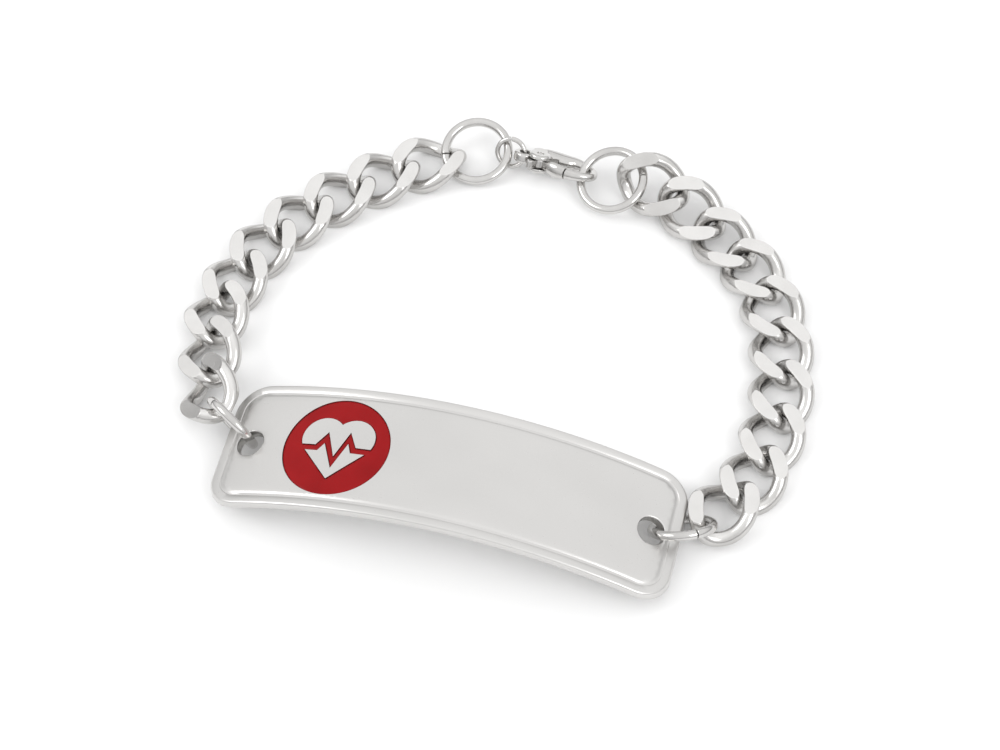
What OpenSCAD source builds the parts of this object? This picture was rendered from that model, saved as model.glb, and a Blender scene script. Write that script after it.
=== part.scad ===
// Medical alert bracelet: an arched identity plate, two runs of curb chain and a lobster
// clasp between two jump rings, lying closed on a flat surface. Millimetres, +Z up.
// X runs along the plate and the chain loops away from it towards +Y.

/* [Identity plate] */
// Length of the plate along its outer face
plate_length = 49.8; // [46:0.2:54]
// Width of the plate
plate_width = 14.6; // [13:0.2:18]
// Thickness of the plate
plate_thickness = 1.1; // [0.9:0.1:1.5]
// Radius of the plate's arched outer face
plate_radius = 54.5; // [50:0.5:70]
// Corner radius of the plate in plan
plate_corner = 3.2; // [2:0.1:5]
// Height of the plate's end edges above the surface that it lies on
plate_lift = 1.4; // [0.8:0.1:2]
// Distance from the plate's end to the centre of its ring hole
hole_inset = 3.2; // [2.6:0.1:4.5]
// Diameter of the plate's two ring holes
hole_d = 3; // [2.8:0.1:3.6]
// Distance from the plate's edge to the engraved border line
border_inset = 0.9; // [0.6:0.1:1.2]
// Width of the engraved border line
border_width = 0.4; // [0.2:0.05:0.6]
// Depth of the engraved border line
border_depth = 0.15; // [0.05:0.05:0.4]

/* [Enamel badge] */
// Diameter of the round enamel badge
badge_d = 11.4; // [9:0.2:12]
// Distance of the badge's centre from the plate's left end
badge_inset = 13; // [11:0.1:16]
// Depth of the pocket that holds the enamel
pocket_depth = 0.6; // [0.4:0.05:0.8]
// How far the enamel stays below the plate's face
enamel_recess = 0.05; // [0.02:0.01:0.15]
// Clearance between the enamel and the walls of its pocket
enamel_gap = 0.04; // [0.02:0.01:0.1]
// Size of the bare steel heart in the badge, the side of its square
heart_side = 4.6; // [3:0.1:5.2]
// Width of the enamel pulse line that crosses the heart
pulse_width = 0.7; // [0.4:0.05:1]

/* [Curb chain] */
// Distance from one link to the next
link_pitch = 5.4; // [5:0.1:6]
// Outer width of a link
link_width = 7.1; // [6.6:0.1:7.6]
// Diameter of the link's wire
link_wire = 1.6; // [1.4:0.05:1.7]
// Thickness of a link between its ground top and its ground underside
link_height = 2.5; // [2.1:0.1:3]
// Turn of each end of a link out of the flat, in degrees
link_twist = 47; // [42:1:50]
// Play between two wires that pull against each other
link_play = 0.14; // [0.12:0.01:0.2]
// Number of links to the left of the plate
left_links = 9; // [8:1:10]
// Number of links to the right of the plate
right_links = 10; // [9:1:11]

/* [Jump rings] */
// Outer diameter of the two rings on the plate
plate_ring_d = 7.2; // [6.8:0.1:8]
// Wire diameter of the rings on the plate
plate_ring_wire = 1; // [0.8:0.05:1.1]
// Outer diameter of the two rings at the clasp
clasp_ring_d = 8.1; // [7.8:0.1:8.6]
// Wire diameter of the rings at the clasp
clasp_ring_wire = 1; // [0.8:0.05:1.1]
// Outer diameter of the small ring in the clasp's eye
eye_ring_d = 3.7; // [3.5:0.1:4.1]
// Wire diameter of the small ring in the clasp's eye
eye_ring_wire = 0.55; // [0.45:0.05:0.65]
// Width of the cut where a ring's ends meet
ring_cut = 0.12; // [0.05:0.01:0.2]

/* [Lobster clasp] */
// Length of the clasp without its eye
clasp_length = 8.2; // [7.8:0.1:9]
// Width of the clasp from arm to arm
clasp_width = 4.9; // [4.6:0.1:5.4]
// Thickness of the clasp at its middle
clasp_height = 2.1; // [1.9:0.1:2.4]
// Diameter of the eye's hole
eye_hole_d = 1.3; // [1.1:0.05:1.4]
// Width of the metal round the eye's hole
eye_wall = 0.55; // [0.45:0.05:0.7]
// Thickness of the eye
eye_height = 1.1; // [0.9:0.1:1.4]
// Diameter of the pin that the lever turns on
pin_d = 0.7; // [0.6:0.05:0.8]
// Radial clearance of the lever on its pin
pin_clearance = 0.04; // [0.02:0.01:0.08]
// Diameter of the lever's boss round the pin
boss_d = 1.7; // [1.5:0.05:1.9]
// Thickness of the lever where it sits in its slot
lever_height = 0.9; // [0.7:0.05:1]
// Clearance between the lever and each side of its slot
slot_clearance = 0.1; // [0.06:0.01:0.15]

/* [Hidden] */
// Sides of a link's wire and stations round a link
wire_sides = 8;
link_stations = 28;
overlap = 0.01;
far = 100;

left_names = [for (i = [1:left_links]) str("left_link_", i)];
right_names = [for (i = [1:right_links]) str("right_link_", i)];

// The plate's end, its hole and its highest point, in its own mid-plane
plate_half_angle = plate_length / plate_radius * 90 / PI;
plate_half_chord = plate_radius * sin(plate_half_angle);
plate_inner_radius = plate_radius - plate_thickness;
plate_axis_z = plate_lift - sqrt(plate_inner_radius ^ 2 - plate_half_chord ^ 2);
hole_angle = (plate_length / 2 - hole_inset) / plate_radius * 180 / PI;
hole_x = plate_radius * sin(hole_angle);
hole_mid_z = plate_axis_z + (plate_radius - plate_thickness / 2) * cos(hole_angle);

// How far a wire slides back inside the piece that it hooks into, at the eye and at the hook
eye_slack = 0.72;
hook_slack = 0.4;

// Inner lengths of the pieces of the loop, from one pull point to the next
plate_ring_reach = plate_ring_d - 2 * plate_ring_wire - link_play;
clasp_ring_reach = clasp_ring_d - 2 * clasp_ring_wire - link_play;
eye_ring_reach = eye_ring_d - 2 * eye_ring_wire - link_play - eye_slack;

// Half length and half width of a link's centreline
link_a = (link_pitch + link_wire + link_play) / 2;
link_b = (link_width - link_wire) / 2;

function sum(list, i = 0) = i >= len(list) ? 0 : list[i] + sum(list, i + 1);
function running(list) = [
    for (i = 0, s = 0; i <= len(list); s = s + (i < len(list) ? list[i] : 0), i = i + 1) s
];

// The loop's course, in shares of the plate's half span and of the loop's depth
route_shape = [
    [-1, 0], [-1.18, 0.055], [-1.285, 0.17], [-1.34, 0.37], [-1.2, 0.61], [-0.82, 0.82], [-0.36, 0.96],
    [0.1, 1], [0.52, 0.97], [0.91, 0.86], [1.22, 0.7], [1.37, 0.45], [1.33, 0.22], [1.17, 0.05], [1, 0]
];

// Poses of the pieces that don't lie flat, each on its own stretch of the course, with the
// lengths in link wires: [along, away from the wrist, lift off the surface, roll, pitch, turn]
function posed(p) = [p[0] * link_wire, p[1] * link_wire, p[2] * link_wire, p[3], p[4], p[5]];
flat_pose = [0, 0, 0, 0, 0, 0];
left_plate_ring_pose = posed([-0.1786, -0.7108, 0.001, 75, 0, 0]);
right_plate_ring_pose = posed([0.15, -0.425, 0, 45, -6.3, -1.9]);
tail_ring_pose = posed([-0.0517, 0.1386, 0.1454, 14.5, -6.9, 0]);
hook_ring_pose = posed([0.1904, -1.8853, 0.4831, 13.5, -14.7, 9.3]);
clasp_pose = posed([0.0675, -1.0051, 0.2535, -34.5, 1.8, -7.4]);

// The same for links, on the left counted from the plate, on the right from the clasp
left_poses = [
    posed([0.1786, -0.3301, 0.0009, -37.8, 10.5, 2.3]), posed([0.1973, -0.3493, 0.0012, -21.7, 3.7, 0.9]),
    posed([0.1643, -0.0982, 0, -8.9, 4.5, 2.2])
];
right_poses = [
    posed([0.3081, -0.5971, 0.207, 32.8, 9, 0.4]),
    posed([0.2668, -0.2831, 0.0945, 18.1, 10.8, 0.2]),
    posed([0.1637, -0.1961, 0, 5.2, 2.5, -1])
];
tail_link_pose = posed([0.0148, 0.0283, 0, -0.1, 0.1, -0.8]);
plate_end_link_pose = posed([-0.0606, -0.25, 0.1556, 3.5, -3.4, -1.8]);

// Where the hook's ring crosses the clasp's mouth
grip_x = clasp_length * 0.238;

// Shape of the clasp in shares of its half length, half width and half height:
// [along, across, half width, half height]
claw_rows = [
    [-0.78, 0.26, 0.2, 0.9], [-0.62, 0.46, 0.31, 1], [-0.42, 0.54, 0.4, 1], [-0.18, 0.56, 0.43, 0.95],
    [0.05, 0.6, 0.39, 0.88], [0.3, 0.66, 0.29, 0.78], [0.6, 0.5, 0.225, 0.6], [0.81, 0.2, 0.2, 0.46],
    [0.86, -0.2, 0.19, 0.44], [0.74, -0.56, 0.185, 0.46], [0.48, -0.76, 0.175, 0.5], [0.1, -0.81, 0.165, 0.58]
];
lever_rows = [
    [-0.37, -0.56, 0.14, 0.5], [-0.27, -0.66, 0.165, 0.72], [-0.1, -0.77, 0.17, 0.76],
    [0.06, -0.81, 0.17, 0.7], [0.25, -0.81, 0.165, 0.62]
];
claw_sides = 12;
claw_steps = 3;

half_l = clasp_length / 2;
half_w = clasp_width / 2;
half_h = clasp_height / 2;
pin_at = [-0.67 * half_l, -0.22 * half_w];
eye_sunk = 0.2;
eye_x = -half_l - eye_hole_d / 2 + eye_sunk;
hook_inner_x = half_l * 0.86 - half_w * 0.19;

clasp_reach = hook_inner_x - eye_x + eye_hole_d / 2 - link_play;
hook_ring_r = (clasp_ring_d - clasp_ring_wire) / 2;
hook_ring_front = grip_x + hook_ring_r + clasp_ring_d / 2 - clasp_ring_wire;
hook_ring_reach = hook_ring_front - hook_inner_x - link_play - hook_slack;

// Stages of the loop, clockwise from the plate's left hole to its right one
stages = concat(
    [plate_ring_reach],
    [for (i = [1:left_links]) link_pitch],
    [clasp_ring_reach, eye_ring_reach, clasp_reach, hook_ring_reach],
    [for (i = [1:right_links]) link_pitch],
    [plate_ring_reach]
);
stations = running(stages);
loop_length = stations[len(stations) - 1];
half_span = hole_x + hole_d / 2 * cos(hole_angle);

// A smooth course through the route's points, for a given depth of the loop
course_steps = 10;
function blend(a, b, c, d, t) =
    0.5 * (2 * b + (c - a) * t + (2 * a - 5 * b + 4 * c - d) * t ^ 2 + (3 * b - a - 3 * c + d) * t ^ 3);
function row(list, i) = list[max(0, min(len(list) - 1, i))];
function smooth(list, steps) = concat(
    [
        for (i = [0:len(list) - 2], k = [0:steps - 1])
            blend(row(list, i - 1), list[i], list[i + 1], row(list, i + 2), k / steps)
    ],
    [list[len(list) - 1]]
);
unit_course = smooth(route_shape, course_steps);
function course(depth) = [for (p = unit_course) [p[0] * half_span, p[1] * depth]];
function steps_of(line) = [for (i = [1:len(line) - 1]) norm(line[i] - line[i - 1])];

// The depth at which the course is as long as the pieces, found by halving
function loop_depth(low, high, tries) =
    let (middle = (low + high) / 2)
    tries == 0 ? middle
    : sum(steps_of(course(middle))) < loop_length ? loop_depth(middle, high, tries - 1)
    : loop_depth(low, middle, tries - 1);
loop_y = loop_depth(5, far, 30);
loop_course = course(loop_y);
marks = running(steps_of(loop_course));
course_x = [for (i = [0:len(marks) - 1]) [marks[i], loop_course[i][0]]];
course_y = [for (i = [0:len(marks) - 1]) [marks[i], loop_course[i][1]]];
function on_course(s) = [lookup(s, course_x), lookup(s, course_y)];
function stage_start(k) = on_course(stations[k]);
function stage_end(k) = on_course(stations[k + 1]);
function stage_middle(k) = (stage_start(k) + stage_end(k)) / 2;
function heading(v) = atan2(v[1], v[0]);
function stage_heading(k) = heading(stage_end(k) - stage_start(k));

// Places its children on stage k, with their own X along the course
module on_stage(k, pose, z) {
    middle = stage_middle(k);
    from_centre()
        translate([middle[0], middle[1], pose[2] + z])
            rotate([0, 0, stage_heading(k)])
                translate([pose[0], pose[1], 0])
                    rotate([0, 0, pose[5]])
                        rotate([pose[3], 0, 0])
                            rotate([0, pose[4], 0])
                                children();
}

// The same for a point, in plan only
function turned(p, a) = [p[0] * cos(a) - p[1] * sin(a), p[0] * sin(a) + p[1] * cos(a)];
function tipped(p, pose) = [
    p[0] * cos(pose[4]) + p[2] * sin(pose[4]),
    p[1] * cos(pose[3]) - (p[2] * cos(pose[4]) - p[0] * sin(pose[4])) * sin(pose[3])
];
function plan_of(p, k, pose) =
    stage_middle(k) + turned(turned(tipped(p, pose), pose[5]) + [pose[0], pose[1]], stage_heading(k));

// Height that a point or a ring has after it rolls and pitches about the origin
function height_of(p, pose) =
    p[1] * sin(pose[3]) + (p[2] * cos(pose[4]) - p[0] * sin(pose[4])) * cos(pose[3]);
function ring_lift(outer_d, wire_d, pose) =
    wire_d / 2 + (outer_d - wire_d) / 2 * sqrt(1 - (cos(pose[3]) * cos(pose[4])) ^ 2);

// A closed or open skin of quads, cut into triangles, over rings of points
function grid_faces(rings, sides, closed) = [
    for (i = [0:(closed ? rings : rings - 1) - 1], j = [0:sides - 1])
        let (
            a = i * sides + j,
            b = i * sides + (j + 1) % sides,
            c = (i + 1) % rings * sides + (j + 1) % sides,
            d = (i + 1) % rings * sides + j
        )
        each [[a, b, c], [a, c, d]]
];
function end_faces(rings, sides) = [
    [for (j = [sides - 1:-1:0]) j],
    [for (j = [0:sides - 1]) (rings - 1) * sides + j]
];

// Centreline of a link: an oval whose two ends are turned out of the flat, opposite ways
function oval(t) = [link_a * cos(t), link_b * sin(t)];
function twist_at(x) = -link_twist * x / link_a;
function link_line(t) =
    let (p = oval(t), turn = twist_at(p[0]))
    [p[0], p[1] * cos(turn), p[1] * sin(turn)];
function unit(v) = v / norm(v);
function link_ring(t) =
    let (
        centre = link_line(t),
        along = unit(link_line(t + 1) - link_line(t - 1)),
        turn = twist_at(centre[0]),
        side = unit(cross(along, [0, -sin(turn), cos(turn)])),
        up = cross(side, along)
    )
    [
        for (j = [0:wire_sides - 1])
            let (a = j * 360 / wire_sides, p = centre + link_wire / 2 * (cos(a) * side + sin(a) * up))
            [p[0], p[1], max(-link_height / 2, min(link_height / 2, p[2]))]
    ];
link_points = [for (i = [0:link_stations - 1]) each link_ring(i * 360 / link_stations)];
link_faces = grid_faces(link_stations, wire_sides, true);

// Height of a link's centre when its lowest point touches the surface
function link_lift(pose) = -min([for (p = link_points) height_of(p, pose)]);

module link_shape() {
    polyhedron(points = link_points, faces = link_faces, convexity = 6);
}

module chain_link(k, pose) {
    color("gainsboro")
        on_stage(k, pose, link_lift(pose))
            link_shape();
}

function left_pose(i) =
    i == left_links ? tail_link_pose : i <= len(left_poses) ? left_poses[i - 1] : flat_pose;
function right_pose(i) =
    let (from_clasp = right_links - i)
    i == 1 ? plate_end_link_pose : from_clasp < len(right_poses) ? right_poses[from_clasp] : flat_pose;
last_stage = len(stages) - 1;
tail_ring_stage = left_links + 1;
clasp_stage = left_links + 3;

module left_link(i) {
    chain_link(i, left_pose(i));
}
module right_link(i) {
    chain_link(last_stage - i, right_pose(i));
}

// A round wire ring with a fine cut, lying flat about the origin, its cut at +X
module wire_ring(outer_d, wire_d) {
    ring_r = (outer_d - wire_d) / 2;
    cut_angle = ring_cut / ring_r * 180 / PI;
    rotate([0, 0, cut_angle / 2])
        rotate_extrude(angle = 360 - cut_angle, $fn = 72)
            translate([ring_r, 0])
                circle(d = wire_d, $fn = 24);
}

// A jump ring on stage k, resting on the surface
module jump_ring(k, outer_d, wire_d, pose, cut_turn) {
    color("silver")
        on_stage(k, pose, ring_lift(outer_d, wire_d, pose))
            rotate([0, 0, cut_turn])
                wire_ring(outer_d, wire_d);
}

module left_plate_ring() {
    jump_ring(0, plate_ring_d, plate_ring_wire, left_plate_ring_pose, 60);
}
module right_plate_ring() {
    jump_ring(last_stage, plate_ring_d, plate_ring_wire, right_plate_ring_pose, 100);
}
module left_clasp_ring() {
    jump_ring(tail_ring_stage, clasp_ring_d, clasp_ring_wire, tail_ring_pose, 178);
}

// The clasp's own frame: X from its eye to its hook, Y away from the wrist, Z its thickness
clasp_mid_x = (hook_inner_x + eye_x - eye_hole_d / 2) / 2;
eye_ring_x = eye_x - eye_hole_d / 2 - (eye_ring_reach + link_play) / 2;
eye_ring_r = (eye_ring_d - eye_ring_wire) / 2;
// Height at which the eye ring, which the clasp holds upright, stands on the surface
clasp_lift = eye_ring_wire / 2 + (eye_ring_r + eye_ring_x * sin(clasp_pose[4])) * cos(clasp_pose[3]);
clasp_at = clasp_pose - [clasp_mid_x, 0, 0, 0, 0, 0];
hook_ring_at = hook_ring_pose + [grip_x + hook_ring_r - clasp_mid_x, 0, 0, 0, 0, 0];
module at_clasp() {
    on_stage(clasp_stage, clasp_at, clasp_lift)
        children();
}

module right_clasp_ring() {
    jump_ring(clasp_stage, clasp_ring_d, clasp_ring_wire, hook_ring_at, 2);
}

module eye_ring() {
    color("silver")
        at_clasp()
            translate([eye_ring_x, 0, 0])
                rotate([90, 0, 0])
                    rotate([0, 0, 100])
                        wire_ring(eye_ring_d, eye_ring_wire);
}

// Sections of the claw or the lever along its smoothed rows
section_power = 0.85;
function signed_power(v, e) = sign(v) * abs(v) ^ e;
function claw_line(rows) = [
    for (r = smooth(rows, claw_steps)) [r[0] * half_l, r[1] * half_w, r[2] * half_w, r[3] * half_h]
];
function along_line(line, i) =
    let (a = row(line, i - 1), b = row(line, i + 1))
    unit([b[0] - a[0], b[1] - a[1]]);
function claw_section(line, i) =
    let (r = line[i], t = along_line(line, i))
    [
        for (j = [0:claw_sides - 1])
            let (
                a = j * 360 / claw_sides,
                side = r[2] * signed_power(cos(a), section_power),
                up = r[3] * signed_power(sin(a), section_power)
            )
            [r[0] + side * t[1], r[1] - side * t[0], up]
    ];

module swept(rows) {
    line = claw_line(rows);
    rings = len(line);
    points = [for (i = [0:rings - 1]) each claw_section(line, i)];
    faces = concat(grid_faces(rings, claw_sides, false), end_faces(rings, claw_sides));
    polyhedron(points = points, faces = faces, convexity = 6);
}

// A round disc with chamfered edges, centred on the origin
module puck(r, height, edge) {
    rotate_extrude($fn = 48)
        polygon([
            [0, -height / 2], [r - edge, -height / 2], [r, edge - height / 2],
            [r, height / 2 - edge], [r - edge, height / 2], [0, height / 2]
        ]);
}

housing_wall = 0.4;
housing_bevel = 0.2;
slot_margin = 0.9;
neck_width = 0.6;
neck_sunk = 0.25;
tab_width = 0.7;
tab_reach = 0.45;
stop_gap = 0.12;
stop_thickness = 0.22;
pin_sunk = 0.05;

boss_r = boss_d / 2;
housing_r = boss_r + housing_wall;
slot_height = lever_height + 2 * slot_clearance;
slot_reach = housing_r + slot_margin;
neck_angle = heading([lever_rows[0][0] * half_l, lever_rows[0][1] * half_w] - pin_at);
neck_length = norm([lever_rows[0][0] * half_l, lever_rows[0][1] * half_w] - pin_at) + neck_sunk;
tab_angle = 245;
// The jaws part along an arc about the pin, so that the lever's end swings clear of the hook's
jaw_r = norm([0.22 * half_l, -0.645 * half_w] - pin_at);
jaw_gap = 0.1;

module at_pin() {
    translate([pin_at[0], pin_at[1], 0])
        children();
}

module clasp_body() {
    color("lightgray")
        at_clasp()
            difference() {
                union() {
                    at_pin()
                        puck(housing_r, clasp_height, housing_bevel);
                    translate([-0.72 * half_l, 0.24 * half_w, 0])
                        puck(0.36 * half_w, clasp_height, housing_bevel);
                    translate([eye_x, 0, 0])
                        cylinder(r = eye_hole_d / 2 + eye_wall, h = eye_height, center = true, $fn = 48);
                    swept(claw_rows);
                }
                translate([eye_x, 0, 0])
                    cylinder(d = eye_hole_d, h = far, center = true, $fn = 48);
                at_pin()
                    cylinder(d = pin_d + 2 * pin_clearance, h = far, center = true, $fn = 32);
                at_pin()
                    cylinder(r = boss_r + slot_clearance, h = slot_height, center = true, $fn = 48);
                lever_slot();
                intersection() {
                    at_pin()
                        cylinder(r = jaw_r, h = far, center = true, $fn = 96);
                    translate([0, -1.5 * half_w, -half_h * 2])
                        cube([half_l, half_w, half_h * 4]);
                }
            }
}

// The room that the lever's neck and thumb tab need while it opens
module lever_slot() {
    at_pin() {
        for (turn = [-6, 16, 38])
            rotate([0, 0, neck_angle + turn])
                slot_arm(slot_reach);
        for (turn = [-4, 16, 36])
            rotate([0, 0, tab_angle + turn])
                slot_arm(slot_reach);
    }
}
module slot_arm(length) {
    translate([0, -boss_r, -slot_height / 2])
        cube([length, 2 * boss_r, slot_height]);
}

module clasp_lever() {
    color("silver")
        at_clasp() {
            difference() {
                union() {
                    at_pin()
                        cylinder(r = boss_r, h = lever_height, center = true, $fn = 48);
                    at_pin()
                        rotate([0, 0, neck_angle])
                            translate([0, -neck_width / 2, -lever_height / 2])
                                cube([neck_length, neck_width, lever_height]);
                    at_pin()
                        rotate([0, 0, tab_angle])
                            thumb_tab();
                    lever_tongue();
                    intersection() {
                        swept(lever_rows);
                        at_pin()
                            cylinder(r = jaw_r - jaw_gap, h = far, center = true, $fn = 96);
                    }
                }
                at_pin()
                    cylinder(d = pin_d + 2 * pin_clearance, h = far, center = true, $fn = 32);
            }
        }
}

module thumb_tab() {
    translate([0, -tab_width / 2, -lever_height / 2])
        cube([housing_r + tab_reach, tab_width, lever_height]);
    translate([housing_r + tab_reach, 0, 0])
        cylinder(d = tab_width, h = lever_height, center = true, $fn = 32);
}

// The end of the lever that rests behind the hook's tip and stops it from opening outwards
module lever_tongue() {
    tip = claw_rows[len(claw_rows) - 1];
    stop_y = (tip[1] + tip[2]) * half_w + stop_gap;
    root_x = 0.04 * half_l;
    root_y = tip[1] * half_w;
    translate([root_x, root_y, -lever_height / 2])
        cube([0.09 * half_l, stop_y + stop_thickness - root_y, lever_height]);
    translate([root_x, stop_y, -lever_height / 2])
        cube([0.27 * half_l - root_x, stop_thickness, lever_height]);
}

module lever_pin() {
    color("dimgray")
        at_clasp()
            at_pin()
                cylinder(d = pin_d, h = clasp_height - 2 * pin_sunk, center = true, $fn = 32);
}

// The identity plate stands on its two ends, arched along X
module arch(r) {
    translate([0, 0, plate_axis_z])
        rotate([90, 0, 0])
            cylinder(r = r, h = far, center = true, $fn = 240);
}
module rounded_plan(half_x, half_y, corner) {
    square([2 * (half_x - corner), 2 * half_y], center = true);
    square([2 * half_x, 2 * (half_y - corner)], center = true);
    for (sx = [-1, 1], sy = [-1, 1])
        translate([sx * (half_x - corner), sy * (half_y - corner)])
            circle(r = corner, $fn = 64);
}
module plate_plan(inset) {
    rounded_plan(plate_half_chord - inset, plate_width / 2 - inset, plate_corner - inset);
}
module standing(height) {
    linear_extrude(height)
        children();
}

// The badge's frame: upright on the plate's face at the badge's centre
badge_angle = (plate_length / 2 - badge_inset) / plate_radius * 180 / PI;
badge_deep = 2 * pocket_depth + 1;
module on_badge() {
    translate([0, 0, plate_axis_z])
        rotate([0, -badge_angle, 0])
            translate([0, 0, plate_radius - badge_deep])
                children();
}

// The enamel's outline as upright solids: a disc, less a heart, plus the pulse line across it
module heart(grow) {
    corner = heart_side / 2 * cos(45);
    side = heart_side + 2 * grow;
    translate([0, -heart_side * 0.12, 0]) {
        rotate([0, 0, 45])
            translate([-side / 2, -side / 2, 0])
                cube([side, side, 2 * badge_deep]);
        for (sx = [-1, 1])
            translate([sx * corner, corner, 0])
                cylinder(r = heart_side / 2 + grow, h = 2 * badge_deep, $fn = 48);
    }
}
pulse_points = [
    [-1.1, -0.05], [-0.45, -0.05], [-0.27, 0.22], [0.02, -0.4], [0.26, 0.26], [0.42, -0.05], [1.1, -0.05]
];
function normal_of(v) = unit([-v[1], v[0]]);
function edge_point(list, i, offset) =
    let (
        into = i == 0 ? list[1] - list[0] : list[i] - list[i - 1],
        out = i == len(list) - 1 ? into : list[i + 1] - list[i],
        middle = unit(normal_of(into) + normal_of(out))
    )
    list[i] + middle * offset / max(middle * normal_of(into), 0.5);
module pulse(width) {
    line = pulse_points * heart_side;
    last = len(line) - 1;
    translate([0, 0, -1])
        linear_extrude(2 * badge_deep + 2)
            polygon(concat(
                [for (i = [0:last]) edge_point(line, i, -width / 2)],
                [for (i = [last:-1:0]) edge_point(line, i, width / 2)]
            ));
}
module enamel_prism(gap) {
    difference() {
        cylinder(d = badge_d - 2 * gap, h = 2 * badge_deep, $fn = 96);
        difference() {
            heart(gap);
            pulse(pulse_width - 2 * gap);
        }
    }
}

module id_plate() {
    color("whitesmoke")
        from_centre()
            bare_plate();
}
module bare_plate() {
    difference() {
        intersection() {
            arch(plate_radius);
            standing(far)
                plate_plan(0);
        }
        arch(plate_inner_radius);
        for (side = [-1, 1])
            translate([0, 0, plate_axis_z])
                rotate([0, side * hole_angle, 0])
                    cylinder(d = hole_d, h = far, $fn = 48);
        difference() {
            standing(far)
                difference() {
                    plate_plan(border_inset);
                    plate_plan(border_inset + border_width);
                }
            arch(plate_radius - border_depth);
        }
        difference() {
            on_badge()
                enamel_prism(0);
            arch(plate_radius - pocket_depth);
        }
    }
}

module enamel_badge() {
    color("firebrick")
        from_centre()
            bare_badge();
}
module bare_badge() {
    difference() {
        intersection() {
            arch(plate_radius - enamel_recess);
            on_badge()
                enamel_prism(enamel_gap);
        }
        arch(plate_radius - pocket_depth + enamel_gap);
    }
}

// Outline of the whole bracelet in plan, from which its middle is found
function span_of(points, side) = [min([for (p = points) p[side]]), max([for (p = points) p[side]])];
function circle_plan(k, pose, r, wire_d) = [
    for (a = [0:5:355], edge = [-1, 1])
        plan_of([r * cos(a), r * sin(a), 0], k, pose) + edge * wire_d / 2 * [1, 1]
];
outline = concat(
    [for (i = [1:left_links]) each [for (p = link_points) plan_of(p, i, left_pose(i))]],
    [for (i = [1:right_links]) each [for (p = link_points) plan_of(p, last_stage - i, right_pose(i))]],
    circle_plan(tail_ring_stage, tail_ring_pose, hook_ring_r, clasp_ring_wire),
    circle_plan(clasp_stage, hook_ring_at, hook_ring_r, clasp_ring_wire),
    [
        for (i = [0:len(claw_line(claw_rows)) - 1])
            each [for (p = claw_section(claw_line(claw_rows), i)) plan_of(p, clasp_stage, clasp_at)]
    ],
    [[0, -plate_width / 2]]
);
outline_x = span_of(outline, 0);
outline_y = span_of(outline, 1);
outline_centre = [outline_x[0] + outline_x[1], outline_y[0] + outline_y[1]] / 2;

// Moves its children so that the middle of the bracelet's box is the origin
module from_centre() {
    translate([-outline_centre[0], -outline_centre[1], 0])
        children();
}

id_plate();
enamel_badge();
left_plate_ring();
right_plate_ring();
for (i = [1:left_links])
    left_link(i);
for (i = [1:right_links])
    right_link(i);
left_clasp_ring();
right_clasp_ring();
eye_ring();
clasp_body();
clasp_lever();
lever_pin();
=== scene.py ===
import math

import bmesh
import bpy
import numpy as np
from mathutils import Matrix, Vector
from mathutils.geometry import delaunay_2d_cdt


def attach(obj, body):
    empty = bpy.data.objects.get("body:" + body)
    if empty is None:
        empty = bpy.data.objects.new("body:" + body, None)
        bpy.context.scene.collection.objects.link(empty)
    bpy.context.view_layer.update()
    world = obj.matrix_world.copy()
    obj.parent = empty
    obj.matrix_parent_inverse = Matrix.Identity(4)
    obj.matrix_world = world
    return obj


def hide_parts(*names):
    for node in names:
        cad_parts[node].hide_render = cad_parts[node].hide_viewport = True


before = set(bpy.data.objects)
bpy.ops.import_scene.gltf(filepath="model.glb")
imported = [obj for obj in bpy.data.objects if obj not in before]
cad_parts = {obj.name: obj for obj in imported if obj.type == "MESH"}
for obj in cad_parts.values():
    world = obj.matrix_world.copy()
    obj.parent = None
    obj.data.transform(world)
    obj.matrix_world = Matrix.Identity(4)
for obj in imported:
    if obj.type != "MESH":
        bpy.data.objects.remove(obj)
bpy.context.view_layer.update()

MM = 0.001
PI = math.pi


# Places of the pieces: x, y and z in mm, then turn, roll and pitch in degrees

LINKS = {
    "left_link_1": (-27.873, -14.7584, 2.99267, 116.069, -37.8, 10.5),
    "left_link_2": (-29.4142, -9.71577, 2.27294, 103.139, -21.7, 3.7),
    "left_link_3": (-30.3143, -4.55224, 1.81817, 92.3135, -8.9, 4.5),
    "left_link_4": (-29.9223, 0.514084, 1.25, 78.1473, 0, 0),
    "left_link_5": (-28.3039, 5.62714, 1.25, 66.7177, 0, 0),
    "left_link_6": (-25.6304, 10.2636, 1.25, 53.3506, 0, 0),
    "left_link_7": (-22.1218, 14.3431, 1.25, 45.2601, 0, 0),
    "left_link_8": (-18.1298, 17.9636, 1.25, 39.151, 0, 0),
    "left_link_9": (-13.7511, 21.1446, 1.25904, 31.1181, -0.1, 0.1),
    "right_link_1": (27.1139, -15.0218, 1.80458, -119.072, 3.5, -3.4),
    "right_link_2": (29.3474, -10.2902, 1.25, -104.784, 0, 0),
    "right_link_3": (30.2838, -4.99913, 1.25, -95.2897, 0, 0),
    "right_link_4": (30.2551, 0.366804, 1.25, -84.0958, 0, 0),
    "right_link_5": (29.2816, 5.65381, 1.25, -75.0408, 0, 0),
    "right_link_6": (27.4236, 10.6882, 1.25, -64.4339, 0, 0),
    "right_link_7": (24.4575, 15.1145, 1.25, -47.9152, 0, 0),
    "right_link_8": (20.5518, 18.386, 1.42633, -39.5543, 5.2, 2.5),
    "right_link_9": (16.2532, 21.2594, 2.0228, -30.843, 18.1, 10.8),
    "right_link_10": (11.4163, 23.1019, 2.8469, -19.3255, 32.8, 9),
}
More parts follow.
